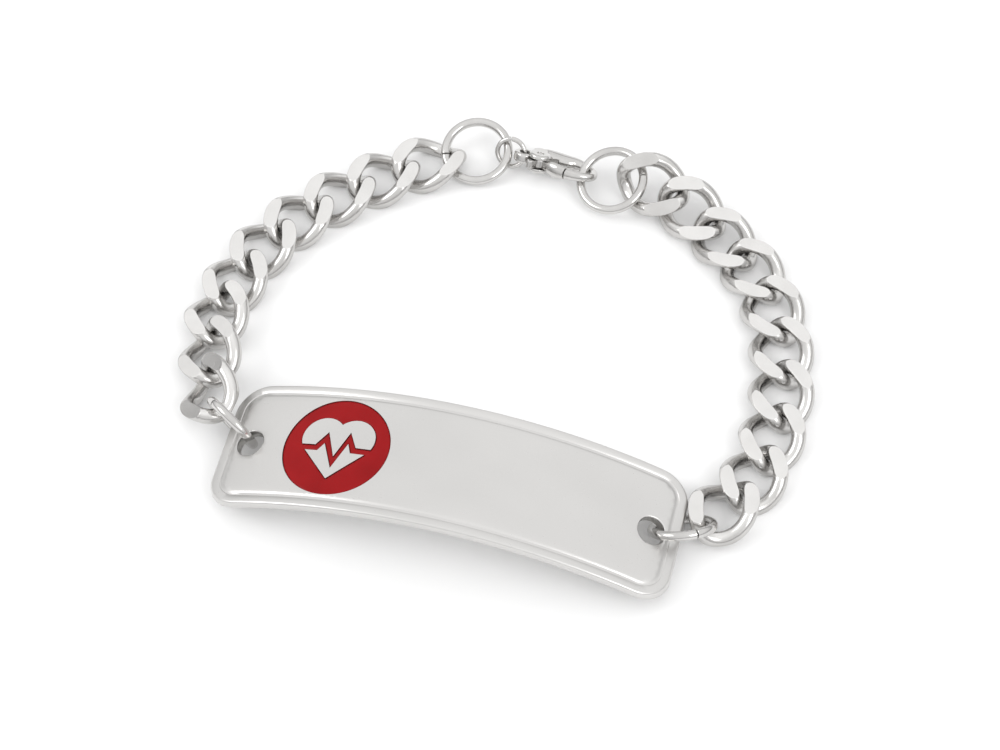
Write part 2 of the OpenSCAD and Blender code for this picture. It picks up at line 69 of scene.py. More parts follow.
# A ring also has its outer diameter, its wire's diameter and the turn of its cut
RINGS = {
    "left_plate_ring": (-24.2007, -18.2533, 3.49597, 146.976, 75, 0, 7.2, 1.0, 60),
    "right_plate_ring": (23.5538, -18.6171, 2.70519, -148.379, 45, -6.3, 7.2, 1.0, 100),
    "left_clasp_ring": (-8.85875, 23.8044, 1.71271, 21.914, 14.5, -6.9, 8.1, 1.0, 178),
    "right_clasp_ring": (6.87088, 22.9099, 2.47881, 13.4338, 13.5, -14.7, 8.1, 1.0, 2),
}
PLATE = (-0.445476, -20.4167, 0, 0, 0, 0)
CLASP = (1.08594, 23.9038, 1.81966, -3.26616, -34.5, 1.8)
# The eye ring stands on edge in the clasp's own frame
EYE_RING_X, EYE_RING = -6.14, (3.7, 0.55, 100)


def placed(place):
    """The matrix, in mm, of a piece at one of the places above."""
    turn, roll, pitch = (math.radians(angle) for angle in place[3:6])
    return (
        Matrix.Translation(place[:3])
        @ Matrix.Rotation(turn, 4, "Z")
        @ Matrix.Rotation(roll, 4, "X")
        @ Matrix.Rotation(pitch, 4, "Y")
    )


# Mesh helpers; meshes are made in mm and scaled when they are placed

SAME_POINT, NO_LENGTH = 1e-4, 1e-5


def linked(name, data):
    obj = bpy.data.objects.new(name, data)
    bpy.context.scene.collection.objects.link(obj)
    return obj


def piece(name, mesh, matrix, material, nodes, body="bracelet"):
    obj = linked(name, mesh)
    mesh.transform(Matrix.Scale(MM, 4) @ matrix)
    mesh.materials.clear()
    mesh.materials.append(material)
    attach(obj, body)
    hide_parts(*nodes)


def mesh_of(name, verts, faces, smooth=True):
    mesh = bpy.data.meshes.new(name)
    mesh.from_pydata([tuple(v) for v in verts], [], faces)
    mesh.validate()
    bm = bmesh.new()
    bm.from_mesh(mesh)
    bmesh.ops.remove_doubles(bm, verts=bm.verts, dist=SAME_POINT)
    bmesh.ops.dissolve_degenerate(bm, edges=bm.edges, dist=NO_LENGTH)
    bmesh.ops.recalc_face_normals(bm, faces=bm.faces)
    for face in bm.faces:
        face.smooth = smooth
    bm.to_mesh(mesh)
    bm.free()
    return mesh


def baked(obj):
    """The object's mesh with its modifiers applied; the object itself goes."""
    bpy.context.view_layer.update()
    final = obj.evaluated_get(bpy.context.evaluated_depsgraph_get())
    mesh = bpy.data.meshes.new_from_object(final)
    mesh.name = obj.name
    bpy.data.objects.remove(obj)
    return mesh


def weighted_normals(mesh):
    obj = linked(mesh.name, mesh)
    mod = obj.modifiers.new("normals", "WEIGHTED_NORMAL")
    mod.mode = "FACE_AREA"
    mod.weight = 50
    return baked(obj)


def remeshed(mesh, voxel, rounds):
    """One skin round everything in the mesh, smoothed for a number of rounds."""
    obj = linked(mesh.name, mesh)
    mod = obj.modifiers.new("remesh", "REMESH")
    mod.mode = "VOXEL"
    mod.voxel_size = voxel
    mod.use_smooth_shade = True
    if rounds:
        mod = obj.modifiers.new("smooth", "SMOOTH")
        mod.factor = 0.5
        mod.iterations = rounds
    return baked(obj)


def joined(name, meshes):
    bm = bmesh.new()
    for mesh in meshes:
        bm.from_mesh(mesh)
    out = bpy.data.meshes.new(name)
    bm.to_mesh(out)
    bm.free()
    return out


def cut(mesh, cutter, operation="DIFFERENCE"):
    a, b = linked(mesh.name, mesh), linked(cutter.name, cutter)
    mod = a.modifiers.new("cut", "BOOLEAN")
    mod.operation = operation
    mod.solver = "EXACT"
    mod.object = b
    out = baked(a)
    bpy.data.objects.remove(b)
    return out


def loft(rings, closed):
    """Faces between rings of points that all have the same count."""
    n, m = len(rings), len(rings[0])
    verts = [p for ring in rings for p in ring]
    faces = []
    for i in range(n if closed else n - 1):
        a, b = i * m, (i + 1) % n * m
        for j in range(m):
            k = (j + 1) % m
            faces.append((a + j, a + k, b + k, b + j))
    if not closed:
        faces.append(tuple(range(m - 1, -1, -1)))
        faces.append(tuple((n - 1) * m + j for j in range(m)))
    return verts, faces


def circle(r, n):
    return [(r * math.cos(2 * PI * k / n), r * math.sin(2 * PI * k / n)) for k in range(n)]


def around(loop):
    """Each item with the next one, and the last with the first."""
    return zip(loop, loop[1:] + loop[:1])


def added(verts, point):
    """Appends a point and gives its number."""
    verts.append(point)
    return len(verts) - 1


# Materials

# The colour sockets of a mix node: its two inputs and its output
MIX_A, MIX_B, MIX_RESULT = 6, 7, 2


def set_stops(ramp, stops):
    while len(ramp.elements) < len(stops):
        ramp.elements.new(0.5)
    for element, (at, colour) in zip(ramp.elements, stops):
        element.position = at
        element.color = (*colour, 1)


class Shader:
    """A material's node tree with a Principled shader, built by short calls."""

    def __init__(self, name, **values):
        self.material = bpy.data.materials.new(name)
        self.material.use_nodes = True
        self.tree = self.material.node_tree
        self.bsdf = self.tree.nodes["Principled BSDF"]
        for key, value in values.items():
            self.bsdf.inputs[key.replace("_", " ")].default_value = value

    def node(self, kind, inputs=(), **values):
        node = self.tree.nodes.new(kind)
        for key, value in values.items():
            setattr(node, key, value)
        for key, value in inputs:
            node.inputs[key].default_value = value
        return node

    def link(self, a, b):
        self.tree.links.new(a, b)

    def noise(self, scale, detail=3.0, rough=0.5, stretch=(1, 1, 1), turn=(0, 0, 0)):
        """Noise in the object's own frame, in features to the metre."""
        where = self.node("ShaderNodeTexCoord")
        mapping = self.node("ShaderNodeMapping", [("Scale", stretch), ("Rotation", turn)])
        self.link(where.outputs["Object"], mapping.inputs["Vector"])
        values = [("Scale", scale), ("Detail", detail), ("Roughness", rough)]
        node = self.node("ShaderNodeTexNoise", values)
        self.link(mapping.outputs["Vector"], node.inputs["Vector"])
        return node.outputs["Fac"]

    def scuffs(self):
        return self.noise(1.0, 5.0, 0.65, (9000, 900, 900), (0.4, 0.2, 0.7))

    def blend(self, fac, low, high, start=0.3, end=0.7):
        """A colour that goes from low to high while fac goes from start to end."""
        node = self.node("ShaderNodeValToRGB")
        set_stops(node.color_ramp, [(start, low), (end, high)])
        self.link(fac, node.inputs["Fac"])
        return node.outputs["Color"]

    def colour(self, output):
        self.link(output, self.bsdf.inputs["Base Color"])

    def surface(self, grain, low, high, strength, depth):
        """Roughness from low to high, and relief of a depth in mm, both after the grain."""
        rough = self.blend(grain, (low,) * 3, (high,) * 3)
        self.link(rough, self.bsdf.inputs["Roughness"])
        bump = self.node("ShaderNodeBump", [("Strength", strength), ("Distance", depth * MM)])
        self.link(grain, bump.inputs["Height"])
        self.link(bump.outputs["Normal"], self.bsdf.inputs["Normal"])


def satin_steel():
    """Brushed finely along the plate, with slow changes of tone across it."""
    s = Shader("satin_steel", Metallic=1.0)
    slow = s.noise(1.0, 2.0, 0.5, (60, 90, 90))
    s.colour(s.blend(slow, (0.62, 0.612, 0.6), (0.67, 0.661, 0.649)))
    s.surface(s.noise(1.0, 4.0, 0.6, (180, 9000, 9000)), 0.27, 0.4, 0.1, 0.01)
    return s.material


def polished_steel():
    s = Shader("polished_steel", Metallic=1.0)
    s.colour(s.blend(s.noise(350.0), (0.56, 0.55, 0.538), (0.64, 0.63, 0.618)))
    s.surface(s.scuffs(), 0.1, 0.2, 0.06, 0.01)
    return s.material


def steel_with_painted_light():
    """Link steel with painted light and shade: brighter where the surface faces straight up or
    down, darker on the wire's sides; the ground faces are also really brighter than the drawn
    wire.
    """
    s = Shader("steel_with_painted_light", Metallic=1.0)
    where = s.node("ShaderNodeTexCoord")
    split = s.node("ShaderNodeSeparateXYZ")
    s.link(where.outputs["Normal"], split.inputs["Vector"])
    facing_up = s.node("ShaderNodeMath", operation="ABSOLUTE")
    s.link(split.outputs["Z"], facing_up.inputs[0])
    # Painted light: surfaces that face straight up or down take the bright tone, and surfaces that
    # face sideways take the painted shade of the darker wire tone
    ground = s.blend(facing_up.outputs[0], (0, 0, 0), (1, 1, 1), 0.78, 0.97)
    cloud = s.noise(350.0)
    # wire is the painted shade tone of the sides, and bright is the painted highlight tone of the
    # up-facing faces
    wire = s.blend(cloud, (0.53, 0.52, 0.508), (0.61, 0.6, 0.588))
    bright = s.blend(cloud, (0.74, 0.73, 0.716), (0.8, 0.79, 0.776))
    mix = s.node("ShaderNodeMix", data_type="RGBA")
    s.link(ground, mix.inputs["Factor"])
    s.link(wire, mix.inputs[MIX_A])
    s.link(bright, mix.inputs[MIX_B])
    s.colour(mix.outputs[MIX_RESULT])
    s.surface(s.scuffs(), 0.17, 0.28, 0.06, 0.01)
    return s.material


def red_enamel():
    s = Shader("red_enamel", Specular_IOR_Level=0.12, Coat_Weight=0.05, Coat_Roughness=0.15)
    s.colour(s.blend(s.noise(240.0, 2.0), (0.25, 0.003, 0.0045), (0.31, 0.005, 0.007)))
    s.surface(s.noise(2600.0, 4.0, 0.6), 0.3, 0.42, 0.12, 0.02)
    return s.material


SATIN = satin_steel()
POLISHED = polished_steel()
# Link steel with painted light on faces that point up and painted shade on the wire's sides
GROUND_PAINTED_LIGHT = steel_with_painted_light()
ENAMEL = red_enamel()


# Curb links: round wire along a twisted oval, ground flat above and below

LINK_A, LINK_B, LINK_R, LINK_H = 3.57, 2.75, 0.8, 1.25
LINK_TWIST = math.radians(47)


def link_centre(t):
    x, y = LINK_A * math.cos(t), LINK_B * math.sin(t)
    turn = -LINK_TWIST * x / LINK_A
    return Vector((x, y * math.cos(turn), y * math.sin(turn)))


def ground_side(d, fillet, steps):
    """From the edge of the ground face at height d to where its rounded edge meets the wire."""
    r = LINK_R
    if d >= r:
        return [(0, r)] * (steps + 1), PI / 2
    x = math.sqrt(max(0, (r - fillet) ** 2 - (d - fillet) ** 2))
    end = math.atan2(d - fillet, x)
    angles = [PI / 2 + (end - PI / 2) * i / steps for i in range(steps + 1)]
    return [(x + fillet * math.cos(a), d - fillet + fillet * math.sin(a)) for a in angles], end


def link_mesh(stations=144, arc=12, fillet=0.05, steps=2, dt=0.001):
    rings = []
    for i in range(stations):
        t = 2 * PI * i / stations
        c = link_centre(t)
        along = (link_centre(t + dt) - link_centre(t - dt)).normalized()
        up = (Vector((0, 0, 1)) - along * along.z).normalized()
        side = along.cross(up)
        top, from_angle = ground_side((LINK_H - c.z) / up.z, fillet, steps)
        low, to_angle = ground_side((LINK_H + c.z) / up.z, fillet, steps)
        right = list(top)
        for k in range(1, arc):
            a = from_angle - (from_angle + to_angle) * k / arc
            right.append((LINK_R * math.cos(a), LINK_R * math.sin(a)))
        right += [(x, -y) for x, y in reversed(low)]
        section = right + [(-x, y) for x, y in reversed(right)]
        rings.append([c + side * x + up * y for x, y in section])
    return mesh_of("link", *loft(rings, True))


LINK = weighted_normals(link_mesh())
for name, place in LINKS.items():
    piece(name, LINK.copy(), placed(place), GROUND_PAINTED_LIGHT, [name])


# Jump rings: round wire with a fine cut, its ends a little broken


def ring_mesh(outer, wire, cut_turn, gap=0.12, edge=0.04, stations=120, sides=24):
    r, w = (outer - wire) / 2, wire / 2
    start = gap / r / 2
    first = start + edge / r
    marks = [(start, w - edge)]
    marks += [(first + (2 * PI - 2 * first) * i / stations, w) for i in range(stations + 1)]
    marks += [(2 * PI - start, w - edge)]
    rings = []
    for a, size in marks:
        a += math.radians(cut_turn)
        c, s = math.cos(a), math.sin(a)
        rings.append([((r + u) * c, (r + u) * s, v) for u, v in circle(size, sides)])
    mesh = mesh_of("ring", *loft(rings, False))
    mesh.set_sharp_from_angle(angle=math.radians(40))
    return mesh


for name, place in RINGS.items():
    piece(name, ring_mesh(*place[6:]), placed(place), POLISHED, [name])

clasp_at = placed(CLASP)
eye_at = clasp_at @ Matrix.Translation((EYE_RING_X, 0, 0)) @ Matrix.Rotation(PI / 2, 4, "X")
piece("eye_ring", ring_mesh(*EYE_RING), eye_at, POLISHED, ["eye_ring"])


# Identity plate: sheets of triangles in plan, bent over the arch

# The arch's radii and the height of its axis
R_OUT, R_IN, AXIS_Z = 54.5, 53.4, -46.2813
HALF_X, HALF_Y, CORNER = 24.0427, 7.3, 3.2
HOLE_ANGLE, BADGE_ANGLE = math.radians(22.8132), math.radians(12.5105)
HOLE_R, BADGE_R, POCKET = 1.5, 5.7, 0.6
JUST_INSIDE = 0.999
HOLE_SIDES, BADGE_SIDES = 72, 128
# The plate's rounded rim, and the holes' rounded edges as growth and drop
RIM = 0.24
RIM_LOOPS = (0.0, 0.018, 0.07, 0.145, RIM)
LIP = 0.14
LIPS = ((LIP, 0.0), (LIP * 0.45, LIP * 0.16), (LIP * 0.12, LIP * 0.52), (0.0, LIP))
# The engraved border line's profile, as inset and depth, and the loops drawn along it
GROOVE = ((0.86, 0), (1.0, 0.11), (1.2, 0.11), (1.34, 0))
GROOVE_LOOPS = (0.9, 0.97, 1.23, 1.3)
# The grid of free points: its step, the height of its rows and its distance from what is drawn
PLATE_STEP, ROW = 0.6, 0.866
TOP_MARGIN, BACK_MARGIN, HOLE_MARGIN = 1.42, 0.4, 0.15

# The badge's heart and its pulse line, in heart sizes
HEART, HEART_DROP, PULSE = 4.6, 0.12, 0.7
PULSE_POINTS = [
    (-1.1, -0.05),
    (-0.45, -0.05),
    (-0.27, 0.22),
    (0.02, -0.4),
    (0.26, 0.26),
    (0.42, -0.05),
    (1.1, -0.05),
]
# The enamel's gap in its pocket, how far it lies under the steel, and its rounded edge
ENAMEL_GAP, ENAMEL_SINK = 0.04, 0.05
ENAMEL_EDGE, ENAMEL_EDGE_DROP = 0.22, 0.09
ENAMEL_STEP, ENAMEL_MARGIN = 0.16, 0.05


def on_arch(x, y, radius):
    return (x, y, AXIS_Z + math.sqrt(radius * radius - x * x))


def tilted(u, v, radius, angle):
    """A point at (u, v) of a feature whose own axis leans by angle along the arch."""
    z = math.sqrt(radius * radius - u * u)
    x = u * math.cos(angle) + z * math.sin(angle)
    return (x, v, AXIS_Z + z * math.cos(angle) - u * math.sin(angle))


def own_u(x, radius, angle):
    """The u of a point at x in the plate's plan, for such a feature."""
    return radius * math.sin(math.asin(x / radius) - angle)


def in_hole(x, y, radius, size):
    """Whether a point of the plan lies within a radius of either hole's axis."""
    return any(math.hypot(own_u(x, radius, s * HOLE_ANGLE), y) < size for s in (-1, 1))


def inset_of(x, y):
    """How far a point of the plan lies inside the plate's outline."""
    qx, qy = abs(x) - (HALF_X - CORNER), abs(y) - (HALF_Y - CORNER)
    outside = math.hypot(max(qx, 0), max(qy, 0))
    return CORNER - outside - min(max(qx, qy), 0)


def outline(inset, per_corner=14, step=0.7):
    hx, hy, c = HALF_X - inset, HALF_Y - inset, CORNER - inset
    points = []
    for sx, sy, start in ((1, 1, 0), (-1, 1, 90), (-1, -1, 180), (1, -1, 270)):
        for k in range(per_corner + 1):
            a = math.radians(start + 90 * k / per_corner)
            points.append((sx * (hx - c) + c * math.cos(a), sy * (hy - c) + c * math.sin(a)))
        if sy * sx > 0:
            n = int(2 * (HALF_X - CORNER) / step)
            points += [(sx * (hx - c) * (1 - 2 * k / n), sy * hy) for k in range(1, n)]
        else:
            n = int(2 * (HALF_Y - CORNER) / step)
            points += [(sx * hx, sy * (hy - c) * (1 - 2 * k / n)) for k in range(1, n)]
    return points


def rim_drop(inset):
    return RIM - math.sqrt(max(0, RIM**2 - (RIM - inset) ** 2))


def groove(inset):
    """The border line's depth at an inset within its profile."""
    for (a, da), (b, db) in zip(GROOVE, GROOVE[1:]):
        if inset <= b:
            return da + (db - da) * (inset - a) / (b - a)


def grid(half_x, half_y, step, keep):
    """Points of a triangular grid that pass a test."""
    nx, ny = int(half_x / step) + 1, int(half_y / step) + 1
    found = []
    for i in range(-nx, nx + 1):
        for j in range(-ny, ny + 1):
            x, y = (i + (0.5 if j % 2 else 0)) * step, j * step * ROW
            if keep(x, y):
                found.append((x, y))
    return found


def heart_loop(grow, steps=28):
    """A square on its corner with half discs on its upper sides, grown all round."""
    s, r = HEART, HEART / 2 + grow
    c = s / 2 * math.cos(PI / 4)
    tip = (s / 2 + grow) * math.sqrt(2)
    last = math.acos(-c / r)
    right = [
        (c + r * math.cos(a), c + r * math.sin(a))
        for a in (-PI / 4 + (last + PI / 4) * k / steps for k in range(steps + 1))
    ]
    left = [(-x, y) for x, y in reversed(right[:-1])]
    return [(x, y - HEART_DROP * s) for x, y in [(0, -tip)] + right + left]


def pulse_loop(width):
    """The outline of the pulse line, mitred at its corners."""
    line = [Vector(p) * HEART for p in PULSE_POINTS]
    last = len(line) - 1

    def edge(i, offset):
        into = line[1] - line[0] if i == 0 else line[i] - line[i - 1]
        out = into if i == last else line[i + 1] - line[i]
        a = Vector((-into.y, into.x)).normalized()
        b = Vector((-out.y, out.x)).normalized()
        middle = (a + b).normalized()
        return tuple(line[i] + middle * offset / max(middle.dot(a), 0.5))

    there = [edge(i, -width / 2) for i in range(last + 1)]
    return there + [edge(i, width / 2) for i in range(last, -1, -1)]


def inside(loop, x, y):
    hit = False
    for (ax, ay), (bx, by) in around(loop):
        if (ay > y) != (by > y) and x < (bx - ax) * (y - ay) / (by - ay) + ax:
            hit = not hit
    return hit


def dense(loop, step=0.35):
    points = []
    for (ax, ay), (bx, by) in around(loop):
        n = max(1, int(math.hypot(bx - ax, by - ay) / step))
        points += [(ax + (bx - ax) * k / n, ay + (by - ay) * k / n) for k in range(n)]
    return points


def triangulated(loops, extra):
    """Points and triangles that keep to the loops, and the numbers of each loop's points."""
    points, edges, spans = [], [], []
    for loop in loops:
        span = list(range(len(points), len(points) + len(loop)))
        points += loop
        edges += around(span)
        spans.append(span)
    points += extra
    found = delaunay_2d_cdt([Vector(p) for p in points], edges, [], 0, 1e-6)
    out, _, faces, origin, _, _ = found
    new = {}
    for i, sources in enumerate(origin):
        for source in sources:
            new[source] = i
    numbers = [[new[k] for k in span] for span in spans]
    return [(p.x, p.y) for p in out], [tuple(f) for f in faces], numbers


def middle_of(points, triangle):
    return (sum(points[k][axis] for k in triangle) / 3 for axis in (0, 1))


class Badge:
    """Which points of the badge's own plan are enamel, with a gap to the steel round it."""

    def __init__(self, gap):
        self.disc_r = BADGE_R - gap
        self.heart = dense(heart_loop(gap))
        self.pulse = dense(pulse_loop(PULSE - 2 * gap))
        self.loops = [circle(self.disc_r, BADGE_SIDES), self.heart, self.pulse]

    def covers(self, u, v):
        if u * u + v * v > self.disc_r**2:
            return False
        return not inside(self.heart, u, v) or inside(self.pulse, u, v)


def skin_loops(top, radius, into, pocket):
    """The loops drawn on one skin, and which of them its outline and two holes are."""
    found = []
    for inset in RIM_LOOPS:
        rim = radius + into * rim_drop(inset)
        found.append([on_arch(x, y, rim) for x, y in outline(inset)])
    if top:
        for inset in GROOVE_LOOPS:
            found.append([on_arch(x, y, radius - groove(inset)) for x, y in outline(inset)])
    for side in (-1, 1):
        for grow, drop in LIPS:
            lip, angle = radius + into * drop, side * HOLE_ANGLE
            found.append([tilted(u, v, lip, angle) for u, v in circle(HOLE_R + grow, HOLE_SIDES)])
    last = len(found) - 1
    if top:
        found += [[tilted(u, v, radius, -BADGE_ANGLE) for u, v in loop] for loop in pocket.loops]
    return found, (0, last, last - len(LIPS))


def plate_mesh():
    """The plate's upper skin with the pocket sunk into it, its lower skin, and the walls."""
    verts, faces, joins = [], [], []
    pocket = Badge(0)
    for top in (True, False):
        radius, into = (R_OUT, -1) if top else (R_IN, 1)
        places, ends = skin_loops(top, radius, into, pocket)

        def free(x, y):
            near_rim = inset_of(x, y) < (TOP_MARGIN if top else BACK_MARGIN)
            return not near_rim and not in_hole(x, y, radius, HOLE_R + LIP + HOLE_MARGIN)

        points, triangles, numbers = triangulated(
            [[p[:2] for p in at] for at in places], grid(HALF_X, HALF_Y, PLATE_STEP, free)
        )
        known = {}
        for loop, at in zip(numbers, places):
            for k, p in zip(loop, at):
                known.setdefault(k, p)
        index = [
            added(verts, known.get(i) or on_arch(x, y, radius))
            for i, (x, y) in enumerate(points)
        ]
        sunk, border = {}, {}
        for triangle in triangles:
            x, y = middle_of(points, triangle)
            if inset_of(x, y) < 0 or in_hole(x, y, radius, HOLE_R * JUST_INSIDE):
                continue
            deep = top and pocket.covers(own_u(x, R_OUT, -BADGE_ANGLE), y)
            if deep:
                for k in triangle:
                    if k not in sunk:
                        u, v = own_u(points[k][0], R_OUT, -BADGE_ANGLE), points[k][1]
                        sunk[k] = added(verts, tilted(u, v, R_OUT - POCKET, -BADGE_ANGLE))
            faces.append(tuple((sunk if deep else index)[k] for k in triangle))
            for edge in around(triangle):
                border.setdefault(frozenset(edge), set()).add(deep)
        for (a, b), kinds in border.items():
            if len(kinds) == 2:
                faces.append((index[a], index[b], sunk[b], sunk[a]))
        joins.append([[index[k] for k in numbers[i]] for i in ends])
    for upper, lower in zip(*joins):
        for (a, b), (c, d) in zip(around(upper), around(lower)):
            faces.append((a, b, d, c))
    mesh = mesh_of("id_plate", verts, faces)
    mesh.set_sharp_from_angle(angle=math.radians(38))
    return mesh


def edge_distance(points, loops):
    """Each point's distance to the nearest of the loops."""
    p = np.array(points)
    best = np.full(len(p), 1e9)
    for loop in loops:
        a = np.array(loop)
        d = np.roll(a, -1, axis=0) - a
        for k in range(len(a)):
            t = np.clip(((p - a[k]) @ d[k]) / max(d[k] @ d[k], 1e-12), 0, 1)
            best = np.minimum(best, np.linalg.norm(p - a[k] - t[:, None] * d[k], axis=1))
    return best


def enamel_mesh():
    """The enamel fills its pocket to just under the steel and rounds down at its edges."""
    badge = Badge(ENAMEL_GAP)

    def free(u, v):
        return badge.covers(u, v) and math.hypot(u, v) < badge.disc_r - ENAMEL_MARGIN

    extra = grid(BADGE_R, BADGE_R, ENAMEL_STEP, free)
    points, triangles, _ = triangulated(badge.loops, extra)
    border = [badge.loops[0]]
    for loop, other, want in ((badge.heart, badge.pulse, False), (badge.pulse, badge.heart, True)):
        for (ax, ay), (bx, by) in around(loop):
            if inside(other, (ax + bx) / 2, (ay + by) / 2) == want:
                border.append([(ax, ay), (bx, by)])
    verts, faces, upper, lower = [], [], [], []
    for (u, v), distance in zip(points, edge_distance(points, border)):
        near = min(1.0, distance / ENAMEL_EDGE)
        drop = ENAMEL_SINK + ENAMEL_EDGE_DROP * (1 - math.sqrt(max(0, 1 - (1 - near) ** 2)))
        upper.append(added(verts, tilted(u, v, R_OUT - drop, -BADGE_ANGLE)))
        lower.append(added(verts, tilted(u, v, R_OUT - POCKET + ENAMEL_GAP, -BADGE_ANGLE)))
    sides = {}
    for triangle in triangles:
        x, y = middle_of(points, triangle)
        if not badge.covers(x, y):
            continue
        faces.append(tuple(upper[k] for k in triangle))
        faces.append(tuple(lower[k] for k in reversed(triangle)))
        for edge in around(triangle):
            sides[frozenset(edge)] = sides.get(frozenset(edge), 0) + 1
    for (a, b), count in sides.items():
        if count == 1:
            faces.append((upper[a], upper[b], lower[b], lower[a]))
    mesh = mesh_of("enamel_badge", verts, faces)
    mesh.set_sharp_from_angle(angle=math.radians(50))
    return mesh


plate_at = placed(PLATE)
piece("id_plate", plate_mesh(), plate_at, SATIN, ["id_plate"])
piece("enamel_badge", enamel_mesh(), plate_at, ENAMEL, ["enamel_badge"])


# Lobster clasp: claw, lever and pin in the clasp's own frame

HALF_L, HALF_W, HALF_H = 4.1, 2.45, 1.05
PIN_AT = Vector((-0.67 * HALF_L, -0.22 * HALF_W, 0))
SHOULDER_R, SHOULDER_AT = 0.36 * HALF_W, (-0.72 * HALF_L, 0.24 * HALF_W, 0)
PIN_R, PIN_HALF, PIN_DOME, BOSS_R, HOUSING_R = 0.35, 1.0, 0.12, 0.85, 1.25
EYE_AT, EYE_R, EYE_HOLE, EYE_H = (-4.55, 0, 0), 1.2, 0.65, 1.1
BODY_EDGE, EYE_EDGE, LEVER_EDGE, FINE_EDGE = 0.28, 0.24, 0.06, 0.02
# The lever's neck from the pin to its arm, its thumb tab and the room that its boss has
NECK_TURN, NECK_LENGTH, NECK_HALF = -34.107, 1.7355, 0.3
TAB_TURN, TAB_OUT, TAB_HALF = 245, 0.45, 0.35
LEVER_TALL, PLAY, BOSS_PLAY = 0.9, 0.04, 0.1
# The housing's slot for the lever, cut by blocks at these turns about the pin
SLOT_HALF, SLOT_OUT = 0.55, 0.9
SLOT_TURNS = (NECK_TURN - 6, NECK_TURN + 16, NECK_TURN + 38, 241, 261, 281)
# The hook ends on an arc of this radius about the pin, and the lever's arm just short of it
JAW_R, JAW_GAP, JAW_SWEEP, JAW_STEPS = 3.79465, 0.1, 0.9, 24
JAW_CORNER, ARM_FREE = Vector((1.2, -1.2, 0)), 0.2
# The stop on the lever's arm: its root and its finger, which reaches into the claw
ARM_Y, ARM_HALF, STOP_RISE, STOP_WIDE = -0.81, 0.165, 0.12, 0.22
ROOT_X, ROOT_LONG, STOP_X = 0.04 * HALF_L, 0.09 * HALF_L, 0.27 * HALF_L
# Heights that reach past what they cut or keep
THROUGH, KEEP_TALL, BEYOND = 6, 8, 3

# Stations of a bent bar: x, y, half width and half height in halves of the clasp's sizes
CLAW_ROWS = [
    (-0.78, 0.26, 0.2, 0.9),
    (-0.62, 0.46, 0.31, 1),
    (-0.42, 0.54, 0.4, 1),
    (-0.18, 0.56, 0.43, 0.95),
    (0.05, 0.6, 0.39, 0.88),
    (0.3, 0.66, 0.29, 0.78),
    (0.6, 0.5, 0.225, 0.6),
    (0.81, 0.2, 0.2, 0.46),
    (0.86, -0.2, 0.19, 0.44),
    (0.74, -0.56, 0.185, 0.46),
    (0.48, -0.76, 0.175, 0.5),
    (0.1, -0.81, 0.165, 0.58),
]
LEVER_ROWS = [
    (-0.37, -0.56, 0.14, 0.5),
    (-0.27, -0.66, 0.165, 0.72),
    (-0.1, -0.77, 0.17, 0.76),
    (0.06, ARM_Y, 0.17, 0.7),
    (0.25, ARM_Y, ARM_HALF, 0.62),
]


def smoothed(rows, steps):
    """A smooth curve through the rows, with a number of steps from each to the next."""

    def row(i):
        return np.array(rows[max(0, min(len(rows) - 1, i))])

    out = []
    for i in range(len(rows) - 1):
        a, b, c, d = (row(i + j) for j in (-1, 0, 1, 2))
        for k in range(steps):
            t = k / steps
            slope = (c - a) * t
            square = (2 * a - 5 * b + 4 * c - d) * t * t
            cube = (3 * b - a - 3 * c + d) * t**3
            out.append(0.5 * (2 * b + slope + square + cube))
    return out + [row(len(rows) - 1)]


def swept(name, rows, sides=28, steps=8, power=0.85):
    """A bar of rounded section along the rows."""
    scale = (HALF_L, HALF_W, HALF_W, HALF_H)
    line = [[a * b for a, b in zip(row, scale)] for row in smoothed(rows, steps)]
    rings = []
    for i, (x, y, wide, tall) in enumerate(line):
        a, b = line[max(0, i - 1)], line[min(len(line) - 1, i + 1)]
        t = Vector((b[0] - a[0], b[1] - a[1])).normalized()
        ring = []
        for c, s in circle(1, sides):
            out = wide * math.copysign(abs(c) ** power, c)
            up = tall * math.copysign(abs(s) ** power, s)
            ring.append((x + out * t.y, y - out * t.x, up))
        rings.append(ring)
    return mesh_of(name, *loft(rings, False))


def turned(name, profile, at, sides=64):
    """A closed profile of (radius, height) turned about Z; a radius of 0 closes on the axis."""
    x, y, z = at
    rings = [[(x + r * c, y + r * s, z + h) for r, h in profile] for c, s in circle(1, sides)]
    return mesh_of(name, *loft(rings, True))


def quarter(steps):
    return [PI / 2 * k / steps for k in range(steps + 1)]


def mirrored(profile):
    """The profile, and then back along its mirror image below."""
    return profile + [(x, -z) for x, z in reversed(profile)]


def disc(r, height, edge, at, hole=0.0):
    """A disc or a washer with rounded edges."""
    h = height / 2
    arc = [(edge * math.sin(a), edge * math.cos(a)) for a in quarter(4)]
    outer = mirrored([(r - edge + s, h - edge + c) for s, c in arc])
    if hole:
        inner = mirrored([(hole + edge - s, h - edge + c) for s, c in arc])
        profile = outer + inner[::-1]
    else:
        profile = [(0, h)] + outer + [(0, -h)]
    return turned("disc", profile, at)


def block(x0, x1, y0, y1, half, turn=0.0, at=(0, 0, 0)):
    """A block as high above as below, turned by degrees and then moved to a point."""
    m = Matrix.Translation(at) @ Matrix.Rotation(math.radians(turn), 4, "Z")
    verts = [m @ Vector((x, y, z)) for x in (x0, x1) for y in (y0, y1) for z in (-half, half)]
    faces = [(0, 1, 3, 2), (4, 6, 7, 5), (0, 4, 5, 1), (2, 3, 7, 6), (0, 2, 6, 4), (1, 5, 7, 3)]
    return mesh_of("block", verts, faces, False)


